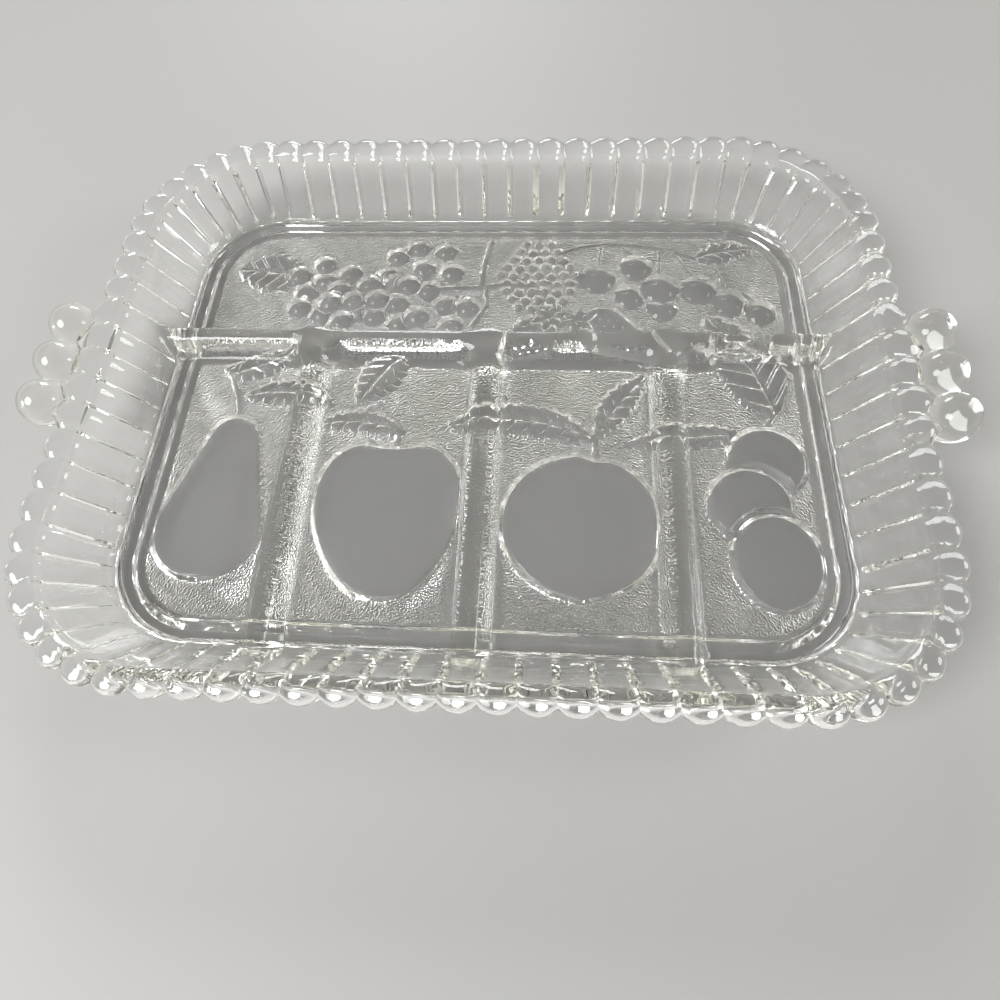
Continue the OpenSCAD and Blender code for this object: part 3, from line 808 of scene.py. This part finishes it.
def as_object(shape, name):
    for face in shape.faces:
        face.smooth = True
    mesh = bpy.data.meshes.new(name)
    shape.to_mesh(mesh)
    shape.free()
    made = bpy.data.objects.new(name, mesh)
    bpy.context.scene.collection.objects.link(made)
    return made


def unite(piece, addition):
    """Joins a closed part into a closed piece, and removes the part."""
    union = piece.modifiers.new("Union", "BOOLEAN")
    union.operation = "UNION"
    union.solver = "MANIFOLD"
    union.object = addition
    joined = bpy.data.meshes.new_from_object(piece.evaluated_get(bpy.context.evaluated_depsgraph_get()))
    piece.modifiers.remove(union)
    before = piece.data
    piece.data = joined
    joined.name = piece.name
    bpy.data.meshes.remove(before)
    bpy.data.meshes.remove(addition.data)


# Inset from which edges count as a handle's, and the least angle in degrees that is sharp there
HANDLE_INSET = 3.5
CREASE_ANGLE = 28


def crease_handles(piece, inner_reach, crease):
    """Marks the edges where beads, web and lip meet at a sharp angle."""
    shape = bmesh.new()
    shape.from_mesh(piece.data)
    for edge in shape.edges:
        outside = min(abs(vert.co.x) for vert in edge.verts) > inner_reach * MM
        if outside and edge.calc_face_angle(0) > math.radians(crease):
            edge.smooth = False
    shape.to_mesh(piece.data)
    shape.free()


class Wire:
    """An output socket with the arithmetic that the finishes use."""

    def __init__(self, board, socket):
        self.board = board
        self.socket = socket

    def maths(self, operation, first, second):
        return self.board.node("ShaderNodeMath", {"operation": operation}, {0: first, 1: second})

    def __add__(self, other):
        return self.maths("ADD", self, other)

    def __radd__(self, other):
        return self.maths("ADD", other, self)

    def __mul__(self, other):
        return self.maths("MULTIPLY", self, other)

    def __rmul__(self, other):
        return self.maths("MULTIPLY", other, self)


class Board:
    """The nodes of one material or of the world."""

    def __init__(self, owner):
        owner.use_nodes = True
        self.tree = owner.node_tree
        self.tree.nodes.clear()

    def node(self, kind, settings=None, inputs=None, output=0):
        """Adds a node with its settings and the values or links of its sockets."""
        made = self.tree.nodes.new(kind)
        for name, value in (settings or {}).items():
            setattr(made, name, value)
        for name, value in (inputs or {}).items():
            if isinstance(value, Wire):
                self.tree.links.new(value.socket, made.inputs[name])
            else:
                made.inputs[name].default_value = value
        return Wire(self, made.outputs[output]) if made.outputs else None


# Roughness that the stipple adds to the polish
STIPPLE_ROUGHNESS = 0.06


def glass_material(look):
    """Fire-polished soda glass with a faint warm tint, stippled where the mould was."""
    material = bpy.data.materials.new("clear_glass")
    board = Board(material)
    place = board.node("ShaderNodeTexCoord", output="Object")
    stipple = board.node("ShaderNodeAttribute", {"attribute_name": "stipple"}, output="Fac")
    dots = board.node(
        "ShaderNodeTexVoronoi",
        {"voronoi_dimensions": "2D", "feature": "F1"},
        {"Vector": place, "Scale": 1 / look.stipple_pitch / MM},
    )
    bump = board.node(
        "ShaderNodeBump",
        {},
        {"Height": dots * stipple, "Strength": 1.0, "Distance": look.stipple_depth * MM},
    )
    shader = board.node(
        "ShaderNodeBsdfPrincipled",
        {},
        {
            "Base Color": (1, 1, 1, 1),
            "Roughness": look.polish + STIPPLE_ROUGHNESS * stipple,
            "IOR": look.ior,
            "Transmission Weight": 1.0,
            "Normal": bump,
        },
    )
    tint = board.node(
        "ShaderNodeVolumeAbsorption", {}, {"Color": (*look.tint, 1), "Density": look.tint_density}
    )
    board.node("ShaderNodeOutputMaterial", {}, {"Surface": shader, "Volume": tint})
    return material


def floor_material(shade, roughness=0.6):
    """Plain matt surface with a very fine grain."""
    material = bpy.data.materials.new("floor")
    board = Board(material)
    grain = board.node("ShaderNodeTexNoise", {}, {"Scale": 180.0, "Detail": 3.0})
    bump = board.node("ShaderNodeBump", {}, {"Height": grain, "Strength": 0.05, "Distance": 0.0005})
    shader = board.node(
        "ShaderNodeBsdfPrincipled", {}, {"Base Color": (*shade, 1), "Roughness": roughness, "Normal": bump}
    )
    board.node("ShaderNodeOutputMaterial", {}, {"Surface": shader})
    return material


# Radius of the floor's disc, in metres
FLOOR_RADIUS = 3.0
# Span over which the pale walls run into the ceiling, as the upward part of a direction
WALL_TOP = 0.12
CEILING_EDGE = 0.55
# Directions of the camera's view and of the right side of the picture
CAMERA_AHEAD = (-0.0612, 0.4035, -0.9129)
CAMERA_RIGHT = (0.9978, 0.0481, -0.0457)


def add_floor(look):
    """Pale disc that lies just under the foot ring."""
    floor = bmesh.new()
    bmesh.ops.create_circle(floor, cap_ends=True, segments=96, radius=FLOOR_RADIUS)
    bmesh.ops.translate(floor, vec=(0, 0, -look.floor_gap), verts=floor.verts)
    floor = as_object(floor, "floor")
    floor.data.materials.append(floor_material(look.floor_colour))


def add_room(scene, look):
    """Pale walls and a dimmer ceiling all round."""
    world = bpy.data.worlds.new("room")
    scene.world = world
    board = Board(world)
    direction = board.node("ShaderNodeTexCoord", output="Generated")
    height = board.node("ShaderNodeSeparateXYZ", {}, {"Vector": direction}, output="Z")
    ceiling = board.node(
        "ShaderNodeMapRange",
        {"interpolation_type": "SMOOTHSTEP"},
        {"Value": height, "From Min": WALL_TOP, "From Max": CEILING_EDGE},
    )
    room = look.wall_level + (look.ceiling_level - look.wall_level) * ceiling
    sky = board.node("ShaderNodeBackground", {}, {"Color": (1.0, 0.985, 0.96, 1), "Strength": room})
    board.node("ShaderNodeOutputWorld", {}, {"Surface": sky})


def add_lamps(scene, look):
    """Soft lamps that face the middle of the tray."""
    # Name, place, width and depth in metres, and power in watts
    for name, place, width, depth, power in (
        ("key_lamp", (-0.8, -0.5, 0.95), 0.7, 0.7, look.key_power),
        ("back_lamp", (-0.3, 1.7, 0.8), 0.9, 0.4, look.back_power),
        ("side_lamp", (0.85, 0.1, 0.45), 0.3, 0.3, look.side_power),
    ):
        lamp = bpy.data.lights.new(name, "AREA")
        lamp.shape = "ELLIPSE"
        lamp.size, lamp.size_y, lamp.energy = width, depth, power
        holder = bpy.data.objects.new(name, lamp)
        holder.location = place
        holder.rotation_euler = (-Vector(place)).to_track_quat("-Z", "Y").to_euler()
        scene.collection.objects.link(holder)


def add_camera(scene, look):
    """Camera over the front edge, turned as the photo's camera was."""
    ahead = Vector(CAMERA_AHEAD).normalized()
    right = Vector(CAMERA_RIGHT).normalized()
    above = right.cross(ahead).normalized()
    camera = bpy.data.cameras.new("camera")
    camera.lens, camera.sensor_width, camera.clip_start = look.lens, 36, 0.01
    viewer = bpy.data.objects.new("camera", camera)
    turn = Matrix((above.cross(-ahead), above, -ahead)).transposed()
    viewer.matrix_world = Matrix.Translation(look.camera_place) @ turn.to_4x4()
    scene.collection.objects.link(viewer)
    scene.camera = viewer


class TRAY_OT_body(bpy.types.Operator):
    """Builds the closed body of the tray, with its compartments, flutes, scallops and pressed fruit"""

    bl_idname = "relish_tray.body"
    bl_label = "Tray body"

    def execute(self, context):
        sizes = millimetres(context.scene.relish_tray_sizes)
        as_object(tray_body(sizes), "tray_pressing")
        return {"FINISHED"}


class TRAY_OT_handles(bpy.types.Operator):
    """Adds the bead handle at each end and joins it to the lip"""

    bl_idname = "relish_tray.handles"
    bl_label = "Bead handles"

    def execute(self, context):
        sizes = millimetres(context.scene.relish_tray_sizes)
        piece = bpy.data.objects["tray_pressing"]
        for side in (-1, 1):
            unite(piece, as_object(handle_parts(sizes, side), "beads"))
        crease_handles(piece, inner_reach=sizes.rim_length / 2 - HANDLE_INSET, crease=CREASE_ANGLE)
        return {"FINISHED"}


class TRAY_OT_glass(bpy.types.Operator):
    """Gives the tray its glass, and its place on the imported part"""

    bl_idname = "relish_tray.glass"
    bl_label = "Glass"

    def execute(self, context):
        piece = bpy.data.objects["tray_pressing"]
        sizes = millimetres(context.scene.relish_tray_sizes)
        rim = RimLine(sizes, sizes.flute_steps)
        places = np.zeros(len(piece.data.vertices) * 3, np.float32)
        piece.data.vertices.foreach_get("co", places)
        places = places.reshape(-1, 3).astype(float) / MM
        stipple = carve(places[:, 0], places[:, 1], sizes, rim)[1] * (places[:, 2] < UNDERSIDE_TOP)
        mask = piece.data.attributes.new("stipple", "FLOAT", "POINT")
        mask.data.foreach_set("value", stipple.astype(np.float32))
        piece.data.materials.clear()
        piece.data.materials.append(glass_material(millimetres(context.scene.relish_glass_look)))
        weighting = piece.modifiers.new("Flat panels", "WEIGHTED_NORMAL")
        weighting.keep_sharp = True
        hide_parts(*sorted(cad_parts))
        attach(piece, "root")
        return {"FINISHED"}


class TRAY_OT_studio(bpy.types.Operator):
    """Sets the pale floor, the soft lamps, the room and the camera"""

    bl_idname = "relish_tray.studio"
    bl_label = "Studio"

    def execute(self, context):
        look = context.scene.relish_studio_look
        add_floor(look)
        add_room(context.scene, look)
        add_lamps(context.scene, look)
        add_camera(context.scene, look)
        context.scene.view_settings.view_transform = "Standard"
        for limit in ("max_bounces", "glossy_bounces", "transmission_bounces"):
            setattr(context.scene.cycles, limit, look.bounces)
        return {"FINISHED"}


class TRAY_PT_panel(bpy.types.Panel):
    """Lists the tray's pieces in the order that they are made"""

    bl_idname = "TRAY_PT_panel"
    bl_label = "Relish tray"
    bl_space_type = "VIEW_3D"
    bl_region_type = "UI"
    bl_category = "Relish tray"

    def draw(self, context):
        for operator in OPERATORS:
            self.layout.operator(operator.bl_idname)
        for group in (
            context.scene.relish_tray_sizes,
            context.scene.relish_glass_look,
            context.scene.relish_studio_look,
        ):
            box = self.layout.box()
            for name, prop in group.bl_rna.properties.items():
                if not prop.is_readonly and name != "name":
                    box.prop(group, name)


OPERATORS = (TRAY_OT_body, TRAY_OT_handles, TRAY_OT_glass, TRAY_OT_studio)
CLASSES = (TraySizes, GlassLook, StudioLook, *OPERATORS, TRAY_PT_panel)


def register():
    for made in CLASSES:
        bpy.utils.register_class(made)
    bpy.types.Scene.relish_tray_sizes = bpy.props.PointerProperty(type=TraySizes)
    bpy.types.Scene.relish_glass_look = bpy.props.PointerProperty(type=GlassLook)
    bpy.types.Scene.relish_studio_look = bpy.props.PointerProperty(type=StudioLook)


def unregister():
    del bpy.types.Scene.relish_studio_look
    del bpy.types.Scene.relish_glass_look
    del bpy.types.Scene.relish_tray_sizes
    for made in reversed(CLASSES):
        bpy.utils.unregister_class(made)


def main():
    """Makes every piece in order."""
    register()
    bpy.ops.relish_tray.body()
    bpy.ops.relish_tray.handles()
    bpy.ops.relish_tray.glass()
    bpy.ops.relish_tray.studio()
    bpy.context.view_layer.update()


if __name__ == "__main__":
    main()
